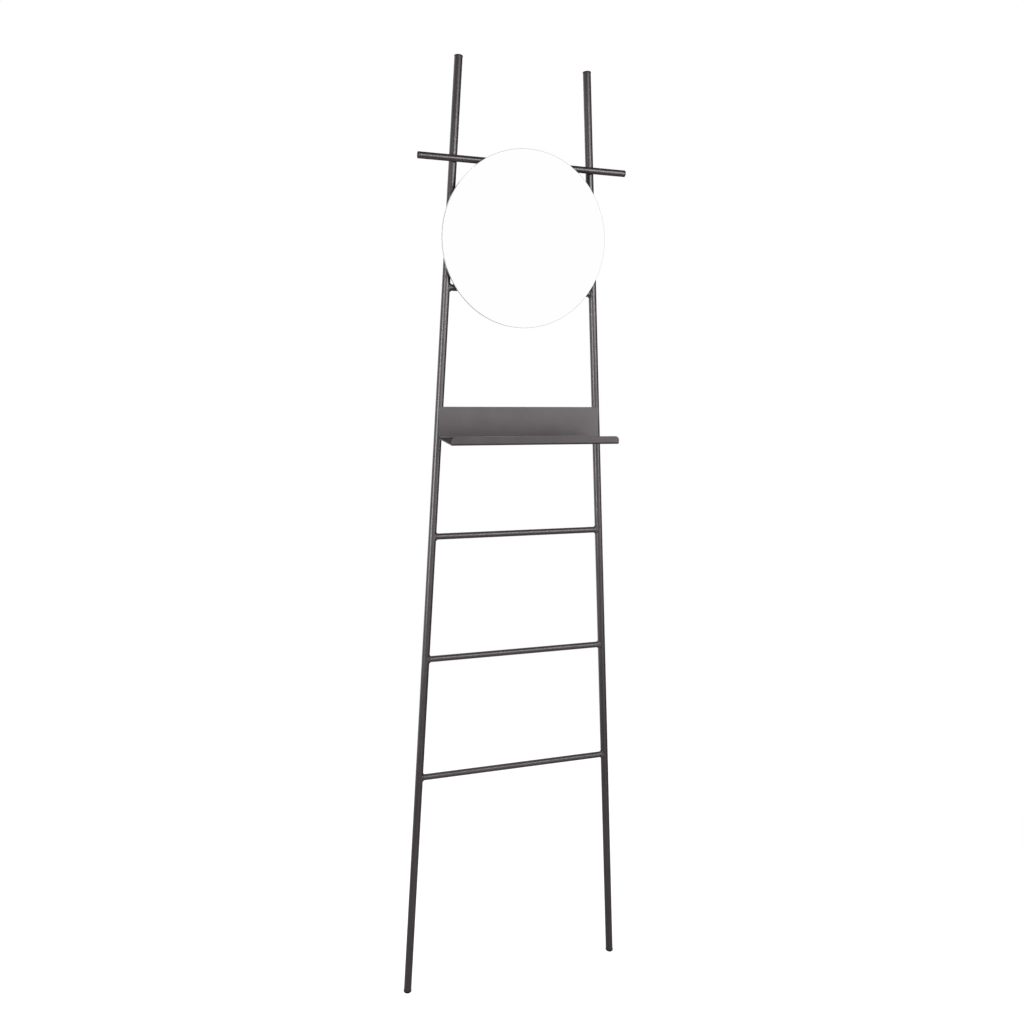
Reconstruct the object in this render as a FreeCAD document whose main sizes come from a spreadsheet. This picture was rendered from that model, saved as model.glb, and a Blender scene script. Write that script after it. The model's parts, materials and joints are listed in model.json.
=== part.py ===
import FreeCAD, Part
import math
import os
import Sketcher

# Bathroom ladder with a hung mirror: a welded tube frame that leans on a wall.
# +Z is up, the wall is on the +Y side, and the origin lies on the floor under the middle of the ladder.
# Along the ladder, "rise" is measured upwards in its leaning plane.

# Driving dimensions, in millimetres and degrees
SIZES = {
    # Rails and lean
    "rail_diameter": 16.0,
    "rail_wall": 1.2,
    "foot_spread": 482.0,
    "top_spread": 264.0,
    "lean_angle": 5.0,
    # Heights along the ladder, each from the one before, starting at the floor
    "lower_rung_rise": 490.0,
    "rung_pitch": 258.5,
    "tray_rise": 264.0,
    "mirror_rung_rise": 233.0,
    "hook_bar_rise": 240.5,
    "rail_top_rise": 190.5,
    # Rungs and hook bar
    "rung_diameter": 12.7,
    "rung_wall": 1.2,
    "hook_bar_length": 430.0,
    "hook_bar_seat": 0.8,
    # Welds
    "rung_weld": 3.2,
    "hook_bar_weld": 2.5,
    "tray_weld": 2.5,
    "tray_weld_length": 18.0,
    "tray_weld_inset": 14.0,
    # Plugs in the tube ends
    "plug_depth": 18.0,
    "plug_clearance": 0.1,
    "rail_cap_flare": 0.3,
    "rail_cap_height": 2.4,
    "bar_cap_height": 1.6,
    "foot_flare": 0.5,
    "foot_height": 2.4,
    # Pads that touch the wall
    "wall_pad_drop": 22.0,
    "wall_pad_width": 7.0,
    "wall_pad_height": 20.0,
    "wall_pad_thickness": 2.5,
    # Shelf tray
    "tray_sheet": 2.0,
    "tray_overhang": 1.8,
    "tray_plate_height": 64.0,
    "tray_depth": 107.0,
    "tray_droop": 3.5,
    "tray_lip_height": 16.0,
    "tray_bend": 2.0,
    "tray_lip_corner": 8.0,
    "tray_plate_corner": 2.0,
    # Mirror glass
    "mirror_diameter": 340.0,
    "mirror_thickness": 5.0,
    "mirror_drop": 144.0,
    "mirror_arris": 1.0,
    # Tape and bumpers on the back of the glass
    "tape_thickness": 1.2,
    "tape_width": 18.0,
    "tape_inset": 9.0,
    "tape_pitch": 56.0,
    "bumper_diameter": 14.0,
    "bumper_height": 4.0,
    "bumper_spacing": 120.0,
    "bumper_clearance": 0.3,
    # Bracket that hangs the mirror on the hook bar
    "bracket_sheet": 2.0,
    "bracket_top": 40.0,
    "bracket_gap": 26.0,
    "bracket_margin": 15.0,
    "bracket_corner": 12.0,
    "hook_spacing": 100.0,
    "hook_width": 25.0,
    "hook_clearance": 0.3,
    "hook_flat": 1.0,
    "hook_tail": 12.0,
    "hook_jog_drop": 14.0,
    "hook_jog_angle": 45.0,
    "hook_bend": 3.0,
}

doc = FreeCAD.newDocument("bathroom_ladder")
sheet = doc.addObject("Spreadsheet::Sheet", "Sizes")
for row, (alias, number) in enumerate(SIZES.items(), start=1):
    sheet.set(f"A{row}", alias)
    sheet.set(f"B{row}", str(number))
    sheet.setAlias(f"B{row}", alias)
doc.recompute()

# Heights along the ladder
LOWER_RUNG = "Sizes.lower_rung_rise"
MIDDLE_RUNG = f"({LOWER_RUNG} + Sizes.rung_pitch)"
UPPER_RUNG = f"({MIDDLE_RUNG} + Sizes.rung_pitch)"
TRAY_TOP = f"({UPPER_RUNG} + Sizes.tray_rise)"
TRAY_MIDDLE = f"({TRAY_TOP} - Sizes.tray_plate_height / 2)"
TRAY_BOTTOM = f"({TRAY_TOP} - Sizes.tray_plate_height)"
MIRROR_RUNG = f"({TRAY_TOP} + Sizes.mirror_rung_rise)"
HOOK_BAR = f"({MIRROR_RUNG} + Sizes.hook_bar_rise)"
RAIL_TOP = f"({HOOK_BAR} + Sizes.rail_top_rise)"
WALL_PAD = f"({RAIL_TOP} - Sizes.wall_pad_drop)"

# Rails: radius, tilt in the ladder's plane, length along their axis
RAIL_RADIUS = "(Sizes.rail_diameter / 2)"
SPLAY = f"atan((Sizes.foot_spread - Sizes.top_spread) / 2 / {RAIL_TOP})"
RAIL_RUN = f"({RAIL_TOP} / cos({SPLAY}))"
FOOT_RADIUS = f"({RAIL_RADIUS} + Sizes.foot_flare)"
SOLE_DEPTH = f"({FOOT_RADIUS} * (tan(Sizes.lean_angle) + tan({SPLAY})))"

# Hook bar and mirror: distances in front of the rail axes, of the bar axis, and below the bar
BAR_RADIUS = "(Sizes.rung_diameter / 2)"
BAR_OFFSET = f"({RAIL_RADIUS} + {BAR_RADIUS} - Sizes.hook_bar_seat)"
RUNG_AHEAD = f"(Sizes.hook_bar_rise * sin(Sizes.lean_angle) - {BAR_OFFSET} * cos(Sizes.lean_angle))"
RUNG_DROP = f"(Sizes.hook_bar_rise * cos(Sizes.lean_angle) + {BAR_OFFSET} * sin(Sizes.lean_angle))"
GLASS_BACK = f"({RUNG_AHEAD} + {BAR_RADIUS} + Sizes.bumper_clearance + Sizes.bumper_height)"
BRACKET_FRONT = f"({GLASS_BACK} - Sizes.tape_thickness)"
BRACKET_MIDDLE = f"({BRACKET_FRONT} - Sizes.bracket_sheet / 2)"
BRACKET_BACK = f"({BRACKET_FRONT} - Sizes.bracket_sheet)"
BRACKET_HEIGHT = f"({RUNG_DROP} - Sizes.bumper_diameter / 2 - Sizes.bracket_gap - Sizes.bracket_top)"
BRACKET_CENTRE = f"(Sizes.bracket_top + {BRACKET_HEIGHT} / 2)"
BRACKET_WIDTH = "(Sizes.hook_spacing + Sizes.hook_width + 2 * Sizes.bracket_margin)"
HOOK_RADIUS = f"({BAR_RADIUS} + Sizes.hook_clearance + Sizes.bracket_sheet / 2)"

# Reach of the whole ladder to the wall and to the front, which centres it on the origin
WALL_REACH = (
    f"({WALL_PAD} * sin(Sizes.lean_angle) + {RAIL_RADIUS} * cos(Sizes.lean_angle)"
    " + Sizes.wall_pad_thickness)"
)
TRAY_REACH = (
    f"({RAIL_RADIUS} * cos(Sizes.lean_angle) - {TRAY_BOTTOM} * sin(Sizes.lean_angle)"
    " + Sizes.tray_depth * cos(Sizes.lean_angle - Sizes.tray_droop))"
)
FRONT_REACH = f"max({TRAY_REACH}; {FOOT_RADIUS})"
FLOOR_LINE = f"(({FRONT_REACH} - {WALL_REACH}) / 2)"

# Frames that the pieces are placed in
NO_TURN = "rotation(vector(0; 0; 1); 0)"
WORLD = f"placement(vector(0; {FLOOR_LINE}; 0); {NO_TURN})"
LADDER = f"placement(vector(0; {FLOOR_LINE}; 0); rotation(vector(1; 0; 0); -Sizes.lean_angle))"
SIDES = {"left": "-1", "right": "1"}
RAIL = {
    side: f"{LADDER} * placement(vector({sign} * Sizes.foot_spread / 2; 0; 0);"
    f" rotation(vector(0; 1; 0); -({sign}) * {SPLAY}))"
    for side, sign in SIDES.items()
}
MIRROR = (
    f"{LADDER} * placement(vector(0; -{BAR_OFFSET}; {HOOK_BAR});"
    " rotation(vector(1; 0; 0); Sizes.lean_angle))"
)

# Accuracy for telling points and edges apart
TOLERANCE = 1e-4

subparts = []


def value(expression):
    """Number that an expression of the size sheet comes to."""
    return float(sheet.evalExpression(expression))


def half_gap(rise):
    """Distance of a rail's axis from the middle of the ladder at a height along it."""
    return f"(Sizes.foot_spread / 2 - {rise} * tan({SPLAY}))"


def bind(item, **expressions):
    """Tie properties of an object to the size sheet."""
    for name, expression in expressions.items():
        item.setExpression(name, expression)


def place(item, frame, x="0", y="0", z="0", turn=NO_TURN):
    """Place an object in a frame, with its position and turn as expressions."""
    item.setExpression("Placement", f"{frame} * placement(vector({x}; {y}; {z}); {turn})")


def finish(item, node):
    """Name a sub-part and put it on the list of pieces to write."""
    item.Label = node
    subparts.append(item)


def add_cut(name, base, tool):
    """Piece left when a tool is taken from a base."""
    cut = doc.addObject("Part::Cut", name)
    cut.Base = base
    cut.Tool = tool
    return cut


def add_group(name, members):
    """Group of separate solids."""
    group = doc.addObject("Part::Compound", name)
    group.Links = members
    return group


def add_sketch(body, plane_role, name, offset="0"):
    """Sketch on one of a body's own origin planes, moved along the plane's normal."""
    plane = next(item for item in body.Origin.OriginFeatures if item.Role == plane_role)
    sketch = body.newObject("Sketcher::SketchObject", name)
    sketch.AttachmentSupport = (plane, "")
    sketch.MapMode = "FlatFace"
    if offset != "0":
        sketch.setExpression("AttachmentOffset.Base.z", offset)
    return sketch


def fix(sketch, constraint, expression):
    """Add a measured constraint and tie its measure to the size sheet."""
    index = sketch.addConstraint(constraint)
    sketch.setExpression(f"Constraints[{index}]", expression)


def pin(sketch, item, point, x, y):
    """Hold one point of a sketch at a position measured from the sketch's origin."""
    if x == "0":
        sketch.addConstraint(Sketcher.Constraint("PointOnObject", item, point, -2))
    else:
        fix(sketch, Sketcher.Constraint("DistanceX", -1, 1, item, point, value(x)), x)
    if y == "0":
        sketch.addConstraint(Sketcher.Constraint("PointOnObject", item, point, -1))
    else:
        fix(sketch, Sketcher.Constraint("DistanceY", -1, 1, item, point, value(y)), y)


def draw_circle(sketch, diameter, x="0", y="0"):
    """Circle with a bound diameter and centre."""
    centre = FreeCAD.Vector(value(x), value(y), 0)
    circle = sketch.addGeometry(Part.Circle(centre, FreeCAD.Vector(0, 0, 1), value(diameter) / 2))
    pin(sketch, circle, 3, x, y)
    fix(sketch, Sketcher.Constraint("Diameter", circle, value(diameter)), diameter)


def draw_outline(sketch, corners):
    """Closed outline of straight lines through corners given as pairs of expressions."""
    points = [FreeCAD.Vector(value(x), value(y), 0) for x, y in corners]
    ends = points[1:] + points[:1]
    lines = [sketch.addGeometry(Part.LineSegment(start, end)) for start, end in zip(points, ends)]
    for index, (x, y) in enumerate(corners):
        sketch.addConstraint(Sketcher.Constraint("Coincident", lines[index - 1], 2, lines[index], 1))
        pin(sketch, lines[index], 1, x, y)


def draw_rectangle(sketch, width, height, x="0", y="0"):
    """Rectangle about a centre."""
    left, right = f"{x} - {width} / 2", f"{x} + {width} / 2"
    low, high = f"{y} - {height} / 2", f"{y} + {height} / 2"
    draw_outline(sketch, [(left, low), (right, low), (right, high), (left, high)])


def draw_folded(sketch, corners, bends):
    """Open path through corners, with a tangent arc of a bound radius at each corner between its ends."""
    points = [FreeCAD.Vector(value(x), value(y), 0) for x, y in corners]
    marks = []
    for point, (x, y) in zip(points, corners):
        mark = sketch.addGeometry(Part.Point(point), True)
        pin(sketch, mark, 1, x, y)
        marks.append(mark)
    arcs = [tangent_arc(points[i:i + 3], value(bend)) for i, bend in enumerate(bends)]
    stops = points[:1] + [point for arc in arcs for point in (arc[0], arc[2])] + points[-1:]
    lines = [
        sketch.addGeometry(Part.LineSegment(stops[i], stops[i + 1])) for i in range(0, len(stops), 2)
    ]
    sketch.addConstraint(Sketcher.Constraint("Coincident", lines[0], 1, marks[0], 1))
    sketch.addConstraint(Sketcher.Constraint("Coincident", lines[-1], 2, marks[-1], 1))
    for index, (arc, bend) in enumerate(zip(arcs, bends)):
        before, after, mark = lines[index], lines[index + 1], marks[index + 1]
        curve = sketch.addGeometry(Part.Arc(*arc))
        first = 1 if sketch.getPoint(curve, 1).isEqual(arc[0], TOLERANCE) else 2
        sketch.addConstraint(Sketcher.Constraint("PointOnObject", mark, 1, before))
        sketch.addConstraint(Sketcher.Constraint("PointOnObject", mark, 1, after))
        sketch.addConstraint(Sketcher.Constraint("Tangent", before, 2, curve, first))
        sketch.addConstraint(Sketcher.Constraint("Tangent", curve, 3 - first, after, 1))
        fix(sketch, Sketcher.Constraint("Radius", curve, value(bend)), bend)


def tangent_arc(corner, radius):
    """First, middle and last point of the arc that rounds the middle one of three points."""
    before, tip, after = corner
    back, ahead = (before - tip).normalize(), (after - tip).normalize()
    inward = (back + ahead).normalize()
    half_angle = inward.getAngle(ahead)
    run = radius / math.tan(half_angle)
    centre = tip + inward * (radius / math.sin(half_angle))
    return tip + back * run, centre - inward * radius, tip + ahead * run


def pad(body, sketch, length):
    """Extrude a sketch along its normal."""
    feature = body.newObject("PartDesign::Pad", "Pad")
    feature.Profile = sketch
    feature.setExpression("Length", length)


def dress(body, kind, size_name, size, wanted):
    """Fillet or chamfer the edges of a body's last feature that pass a test."""
    doc.recompute()
    base = body.Tip
    names = [f"Edge{index}" for index, edge in enumerate(base.Shape.Edges, start=1) if wanted(edge)]
    feature = body.newObject(f"PartDesign::{kind}", kind)
    feature.Base = (base, names)
    feature.setExpression(size_name, size)


def near(first, second):
    """Whether two lengths are the same within modelling accuracy."""
    return abs(first - second) < TOLERANCE


def add_turned(name, corners):
    """Piece turned about its Z axis from a half section of radius and height pairs."""
    body = doc.addObject("PartDesign::Body", name)
    sketch = add_sketch(body, "XZ_Plane", "HalfSection")
    draw_outline(sketch, corners)
    turned = body.newObject("PartDesign::Revolution", "Turned")
    turned.Profile = sketch
    turned.ReferenceAxis = (sketch, ["V_Axis"])
    return body


def add_plug(name, tube_diameter, tube_wall, flare, height):
    """Tube plug: a stem below the tube's end and a flange on it."""
    stem = f"({tube_diameter} / 2 - {tube_wall} - Sizes.plug_clearance)"
    rim = f"({tube_diameter} / 2 + {flare})"
    low = "-Sizes.plug_depth"
    return add_turned(name, [("0", low), (stem, low), (stem, "0"), (rim, "0"), (rim, height), ("0", height)])


def build_rail(side):
    """Rail tube from the top of the foot's collar to the underside of the cap."""
    body = doc.addObject("PartDesign::Body", f"{side}_rail")
    section = add_sketch(body, "XY_Plane", "TubeSection")
    draw_circle(section, "Sizes.rail_diameter")
    draw_circle(section, "Sizes.rail_diameter - 2 * Sizes.rail_wall")
    pad(body, section, f"{RAIL_RUN} - Sizes.foot_height - Sizes.rail_cap_height")
    place(body, RAIL[side], z="Sizes.foot_height")
    finish(body, f"{side}_rail")


def build_rail_cap(side):
    """Plug with a thin flange in the rail's top."""
    body = add_plug(
        f"{side}_rail_cap", "Sizes.rail_diameter", "Sizes.rail_wall",
        "Sizes.rail_cap_flare", "Sizes.rail_cap_height",
    )
    place(body, RAIL[side], z=f"{RAIL_RUN} - Sizes.rail_cap_height")
    finish(body, f"{side}_rail_cap")


def build_foot(side, floor):
    """Plug with a collar in the rail's lower end, its sole trimmed level with the floor."""
    stem = f"({RAIL_RADIUS} - Sizes.rail_wall - Sizes.plug_clearance)"
    low, high = f"-{SOLE_DEPTH}", "Sizes.foot_height + Sizes.plug_depth"
    collar = "Sizes.foot_height"
    corners = [
        ("0", low), (FOOT_RADIUS, low), (FOOT_RADIUS, collar),
        (stem, collar), (stem, high), ("0", high),
    ]
    body = add_turned(f"{side}_foot_blank", corners)
    place(body, RAIL[side])
    finish(add_cut(f"{side}_foot_trimmed", body, floor), f"{side}_foot")


def build_floor():
    """Space under the floor, which trims the soles."""
    box = doc.addObject("Part::Box", "floor")
    length, width = f"(Sizes.foot_spread + 4 * {FOOT_RADIUS})", f"(4 * {FOOT_RADIUS})"
    bind(box, Length=length, Width=width, Height=f"2 * {SOLE_DEPTH}")
    place(box, WORLD, x=f"-{length} / 2", y=f"-{width} / 2", z=f"-2 * {SOLE_DEPTH}")
    return box


def build_rail_spaces():
    """Solid cylinders of the rails' outsides, which shape what is fitted to them."""
    spaces = []
    for side, frame in RAIL.items():
        space = doc.addObject("Part::Cylinder", f"{side}_rail_space")
        bind(space, Radius=RAIL_RADIUS, Height=RAIL_RUN)
        place(space, frame)
        spaces.append(space)
    return add_group("rail_spaces", spaces)


def build_wall_pad(side, rails):
    """Pad between a rail's back and the wall, hollowed to the rail."""
    box = doc.addObject("Part::Box", f"{side}_wall_pad_blank")
    wrap = f"({RAIL_RADIUS} - sqrt({RAIL_RADIUS}^2 - Sizes.wall_pad_width^2 / 4))"
    depth = f"(Sizes.wall_pad_thickness + {wrap} + Sizes.wall_pad_height / 2 * tan(Sizes.lean_angle))"
    bind(box, Length="Sizes.wall_pad_width", Width=depth, Height="Sizes.wall_pad_height")
    height = f"{WALL_PAD} * cos(Sizes.lean_angle) - {RAIL_RADIUS} * sin(Sizes.lean_angle)"
    place(
        box, WORLD,
        x=f"{SIDES[side]} * {half_gap(WALL_PAD)} - Sizes.wall_pad_width / 2",
        y=f"{WALL_REACH} - {depth}",
        z=f"{height} - Sizes.wall_pad_height / 2",
    )
    finish(add_cut(f"{side}_wall_pad_shaped", box, rails), f"{side}_wall_pad")


def build_cross_tube(node, half_length, rise, rails, ahead="0"):
    """Tube across the ladder, coped where it meets the rails; returns its uncut outside."""
    tools = {}
    for part, radius in (("outside", BAR_RADIUS), ("bore", f"{BAR_RADIUS} - Sizes.rung_wall")):
        tool = doc.addObject("Part::Cylinder", f"{node}_{part}")
        bind(tool, Radius=radius, Height=f"2 * {half_length}")
        place(tool, LADDER, f"-{half_length}", f"-{ahead}", rise, "rotation(vector(0; 1; 0); 90)")
        tools[part] = tool
    tube = add_cut(f"{node}_tube", tools["outside"], tools["bore"])
    finish(add_cut(f"{node}_coped", tube, rails), node)
    return tools["outside"]


def build_welds(legs, rails):
    """Flat weld beads round the seams of the cross tubes and the rails, each bead a solid of its own."""
    doc.recompute()
    beads = []
    for crossing, leg in legs.items():
        solids = rails.Shape.Solids + [crossing.Shape]
        joined = solids[0].fuse(solids[1:])
        seams = [edge for edge in joined.Edges if edge.Curve.TypeId == "Part::GeomBSplineCurve"]
        beads += joined.makeChamfer(value(leg), seams).cut(solids).Solids
    welds = doc.addObject("Part::Feature", "frame_welds")
    welds.Shape = Part.makeCompound(beads)
    finish(welds, "frame_welds")


def build_bar_cap(side):
    """Plug with a flange in an end of the hook bar."""
    body = add_plug(
        f"hook_bar_{side}_cap", "Sizes.rung_diameter", "Sizes.rung_wall", "0", "Sizes.bar_cap_height",
    )
    place(
        body, LADDER, f"{SIDES[side]} * (Sizes.hook_bar_length / 2 - Sizes.bar_cap_height)",
        f"-{BAR_OFFSET}", HOOK_BAR, f"rotation(vector(0; 1; 0); {SIDES[side]} * 90)",
    )
    finish(body, f"hook_bar_{side}_cap")


def add_sheet_pipe(body, section, path):
    """Sweep a sheet's cross-section along the middle line of its folds."""
    pipe = body.newObject("PartDesign::AdditivePipe", "FoldedSheet")
    pipe.Profile = section
    pipe.Spine = (path, [])
    return pipe


def build_tray():
    """Shelf tray folded from one sheet: back plate on the rails, base, and a lip with round corners."""
    half = "Sizes.tray_sheet / 2"
    run = f"(Sizes.tray_depth - {half})"
    ahead, down = "cos(Sizes.tray_droop)", "sin(Sizes.tray_droop)"
    plate_top = (f"-{half}", "0")
    rear_fold = (f"-{half}", f"{half} * (1 - {down}) / {ahead} - Sizes.tray_plate_height")
    front_fold = (
        f"-{run} * {ahead} - {half} * {down}",
        f"-Sizes.tray_plate_height - {run} * {down} + {half} * {ahead}",
    )
    lip_top = (
        f"-{run} * {ahead} - Sizes.tray_lip_height * {down}",
        f"-Sizes.tray_plate_height - {run} * {down} + Sizes.tray_lip_height * {ahead}",
    )
    body = doc.addObject("PartDesign::Body", "shelf_tray")
    section = add_sketch(body, "XY_Plane", "SheetSection")
    width = f"2 * ({half_gap(TRAY_MIDDLE)} + Sizes.tray_overhang)"
    draw_rectangle(section, f"({width})", "Sizes.tray_sheet", y=f"-{half}")
    path = add_sketch(body, "YZ_Plane", "FoldPath")
    bend = f"Sizes.tray_bend + {half}"
    draw_folded(path, [plate_top, rear_fold, front_fold, lip_top], [bend, bend])
    add_sheet_pipe(body, section, path)

    def is_corner(edge, spot):
        middle = edge.CenterOfMass
        at_spot = near(middle.y, value(spot[0])) and near(middle.z, value(spot[1]))
        return at_spot and near(edge.Length, value("Sizes.tray_sheet"))

    dress(body, "Fillet", "Radius", "Sizes.tray_lip_corner", lambda edge: is_corner(edge, lip_top))
    dress(body, "Fillet", "Radius", "Sizes.tray_plate_corner", lambda edge: is_corner(edge, plate_top))
    place(body, LADDER, y=f"-{RAIL_RADIUS}", z=TRAY_TOP)
    finish(body, "shelf_tray")


def build_tray_welds(rails):
    """Stitch welds in the hollows between the tray's back plate and the inner sides of the rails."""
    beads = []
    inward = "sqrt(Sizes.rail_diameter * Sizes.tray_weld)"
    behind = f"(Sizes.tray_weld / 2 - {RAIL_RADIUS})"
    ends = (f"{TRAY_TOP} - Sizes.tray_weld_inset", f"{TRAY_BOTTOM} + Sizes.tray_weld_inset")
    for side, frame in RAIL.items():
        for middle in ends:
            bead = doc.addObject("Part::Cylinder", f"{side}_tray_weld")
            bind(bead, Radius="Sizes.tray_weld", Height="Sizes.tray_weld_length")
            place(
                bead, frame, f"-({SIDES[side]}) * {inward}", behind,
                f"({middle}) / cos({SPLAY}) - Sizes.tray_weld_length / 2",
            )
            beads.append(bead)
    plate = doc.addObject("Part::Box", "tray_plate_space")
    width = "(Sizes.foot_spread + Sizes.rail_diameter)"
    bind(plate, Length=width, Width="Sizes.rail_diameter", Height="Sizes.tray_plate_height")
    place(plate, LADDER, f"-{width} / 2", f"-{RAIL_RADIUS} - Sizes.rail_diameter", TRAY_BOTTOM)
    beside_rails = add_cut("tray_beads_beside_rails", add_group("tray_beads", beads), rails)
    finish(add_cut("tray_beads_behind_plate", beside_rails, plate), "shelf_welds")


def build_glass():
    """Round mirror glass that hangs upright, with its front and back edges arrised."""
    body = doc.addObject("PartDesign::Body", "mirror_glass")
    sketch = add_sketch(body, "XZ_Plane", "Disc", GLASS_BACK)
    draw_circle(sketch, "Sizes.mirror_diameter", y="-Sizes.mirror_drop")
    pad(body, sketch, "Sizes.mirror_thickness")
    dress(body, "Chamfer", "Size", "Sizes.mirror_arris", lambda edge: "Circle" in edge.Curve.TypeId)
    place(body, MIRROR)
    finish(body, "mirror_glass")


def build_bracket():
    """Sheet plate behind the glass whose two arms step back and hook over the bar."""
    body = doc.addObject("PartDesign::Body", "mirror_bracket")
    plate = add_sketch(body, "XZ_Plane", "Plate", BRACKET_BACK)
    draw_rectangle(plate, BRACKET_WIDTH, BRACKET_HEIGHT, y=f"-{BRACKET_CENTRE}")
    pad(body, plate, "Sizes.bracket_sheet")
    dress(
        body, "Fillet", "Radius", "Sizes.bracket_corner",
        lambda edge: near(edge.Length, value("Sizes.bracket_sheet")),
    )
    arm = "Sizes.hook_spacing / 2"
    section = add_sketch(body, "XY_Plane", "ArmSection", "-Sizes.bracket_top")
    draw_rectangle(section, "Sizes.hook_width", "Sizes.bracket_sheet", arm, f"-{BRACKET_MIDDLE}")
    path = add_sketch(body, "YZ_Plane", "ArmPath", arm)
    step = f"({BRACKET_MIDDLE} - {HOOK_RADIUS}) / tan(Sizes.hook_jog_angle)"
    corners = [
        (f"-{BRACKET_MIDDLE}", "-Sizes.bracket_top"),
        (f"-{BRACKET_MIDDLE}", f"-Sizes.hook_jog_drop - {step}"),
        (f"-{HOOK_RADIUS}", "-Sizes.hook_jog_drop"),
        (f"-{HOOK_RADIUS}", HOOK_RADIUS),
        (HOOK_RADIUS, HOOK_RADIUS),
        (HOOK_RADIUS, "-Sizes.hook_tail"),
    ]
    jog = "Sizes.hook_bend + Sizes.bracket_sheet / 2"
    top = f"{HOOK_RADIUS} - Sizes.hook_flat / 2"
    draw_folded(path, corners, [jog, jog, top, top])
    hook = add_sheet_pipe(body, section, path)
    both = body.newObject("PartDesign::Mirrored", "BothHooks")
    both.Originals = [hook]
    both.MirrorPlane = (next(item for item in body.Origin.OriginFeatures if item.Role == "YZ_Plane"), [""])
    body.Tip = both
    place(body, MIRROR)
    finish(body, "mirror_bracket")


def build_tape():
    """Strips of foam tape between the bracket and the glass."""
    strips = []
    length = f"({BRACKET_HEIGHT} - 2 * Sizes.tape_inset)"
    for step in (-1, 0, 1):
        strip = doc.addObject("Part::Box", "tape_strip")
        bind(strip, Length="Sizes.tape_width", Width="Sizes.tape_thickness", Height=length)
        place(
            strip, MIRROR, f"{step} * Sizes.tape_pitch - Sizes.tape_width / 2",
            f"-{GLASS_BACK}", f"-{BRACKET_CENTRE} - {length} / 2",
        )
        strips.append(strip)
    finish(add_group("tape_strips", strips), "mirror_tape")


def build_bumpers():
    """Soft dots on the back of the glass, at the height of the mirror rung."""
    dots = []
    for sign in SIDES.values():
        dot = doc.addObject("Part::Cylinder", "bumper")
        bind(dot, Radius="Sizes.bumper_diameter / 2", Height="Sizes.bumper_height")
        place(
            dot, MIRROR, f"{sign} * Sizes.bumper_spacing / 2", f"-{GLASS_BACK}", f"-{RUNG_DROP}",
            "rotation(vector(1; 0; 0); -90)",
        )
        dots.append(dot)
    finish(add_group("bumper_pair", dots), "mirror_bumpers")


def build_ladder():
    """Welded frame with its plugs, pads and tray."""
    rails = build_rail_spaces()
    floor = build_floor()
    for side in SIDES:
        build_rail(side)
        build_rail_cap(side)
        build_foot(side, floor)
        build_wall_pad(side, rails)
        build_bar_cap(side)
    rungs = {
        "lower_rung": LOWER_RUNG, "middle_rung": MIDDLE_RUNG,
        "upper_rung": UPPER_RUNG, "mirror_rung": MIRROR_RUNG,
    }
    weld_legs = {}
    for node, rise in rungs.items():
        blank = build_cross_tube(node, half_gap(rise), rise, rails)
        weld_legs[blank] = "Sizes.rung_weld"
    bar_half = "(Sizes.hook_bar_length / 2 - Sizes.bar_cap_height)"
    bar = build_cross_tube("hook_bar", bar_half, HOOK_BAR, rails, BAR_OFFSET)
    weld_legs[bar] = "Sizes.hook_bar_weld"
    build_welds(weld_legs, rails)
    build_tray()
    build_tray_welds(rails)


def build_mirror():
    """Mirror that hangs from the hook bar and swings on it."""
    build_glass()
    build_tape()
    build_bracket()
    build_bumpers()


def check():
    """Stop if any object failed or any sub-part has no sound shape."""
    for item in doc.Objects:
        if "Invalid" in item.State or "Error" in item.State:
            raise RuntimeError(f"{item.Label} failed: {item.State}")
    for item in subparts:
        if item.Shape.isNull() or not item.Shape.isValid():
            raise RuntimeError(f"{item.Label} has no sound shape")


build_ladder()
build_mirror()
doc.recompute()
check()
os.makedirs("parts", exist_ok=True)
for subpart in subparts:
    subpart.Shape.exportStep(f"parts/{subpart.Label}.step")
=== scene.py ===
import json
import math

import bpy
from bpy.props import FloatProperty, FloatVectorProperty, IntProperty, PointerProperty
from bpy.types import Operator, Panel, PropertyGroup
from mathutils import Matrix, Vector


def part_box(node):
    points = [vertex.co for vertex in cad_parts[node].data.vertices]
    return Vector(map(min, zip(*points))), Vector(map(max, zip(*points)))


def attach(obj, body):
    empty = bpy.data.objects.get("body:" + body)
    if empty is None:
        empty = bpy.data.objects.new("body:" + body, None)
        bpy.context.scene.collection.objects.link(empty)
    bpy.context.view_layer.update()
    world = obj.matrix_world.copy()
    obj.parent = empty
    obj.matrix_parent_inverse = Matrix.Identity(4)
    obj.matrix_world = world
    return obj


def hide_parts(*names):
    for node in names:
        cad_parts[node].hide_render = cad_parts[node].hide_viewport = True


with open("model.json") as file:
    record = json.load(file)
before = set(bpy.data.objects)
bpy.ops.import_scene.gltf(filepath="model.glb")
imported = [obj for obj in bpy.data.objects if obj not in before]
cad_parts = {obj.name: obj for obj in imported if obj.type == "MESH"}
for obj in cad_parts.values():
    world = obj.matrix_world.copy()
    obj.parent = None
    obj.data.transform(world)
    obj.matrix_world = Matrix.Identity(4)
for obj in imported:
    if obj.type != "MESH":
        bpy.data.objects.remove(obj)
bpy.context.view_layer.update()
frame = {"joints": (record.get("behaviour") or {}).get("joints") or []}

bl_info = {
    "name": "Bathroom ladder",
    "version": (1, 0, 0),
    "blender": (4, 5, 0),
    "location": "3D View > Sidebar > Ladder",
    "description": "Builds a leaning bathroom ladder with a shelf tray and a round hung mirror",
    "category": "Add Mesh",
}

BAR_AXIS = Vector(frame["joints"][0]["pos_m"])
GLASS_LOW, GLASS_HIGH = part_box("mirror_glass")
SIDES = {"left": -1, "right": 1}

# Distance in metres below which two places count as the same
EPSILON = 1e-5
# Depth in metres within which a point counts as on a face of the glass
FACE_DEPTH = 0.00005
# Least share of a normal along an axis for its face to count as facing that way
FACING = 0.9
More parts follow.
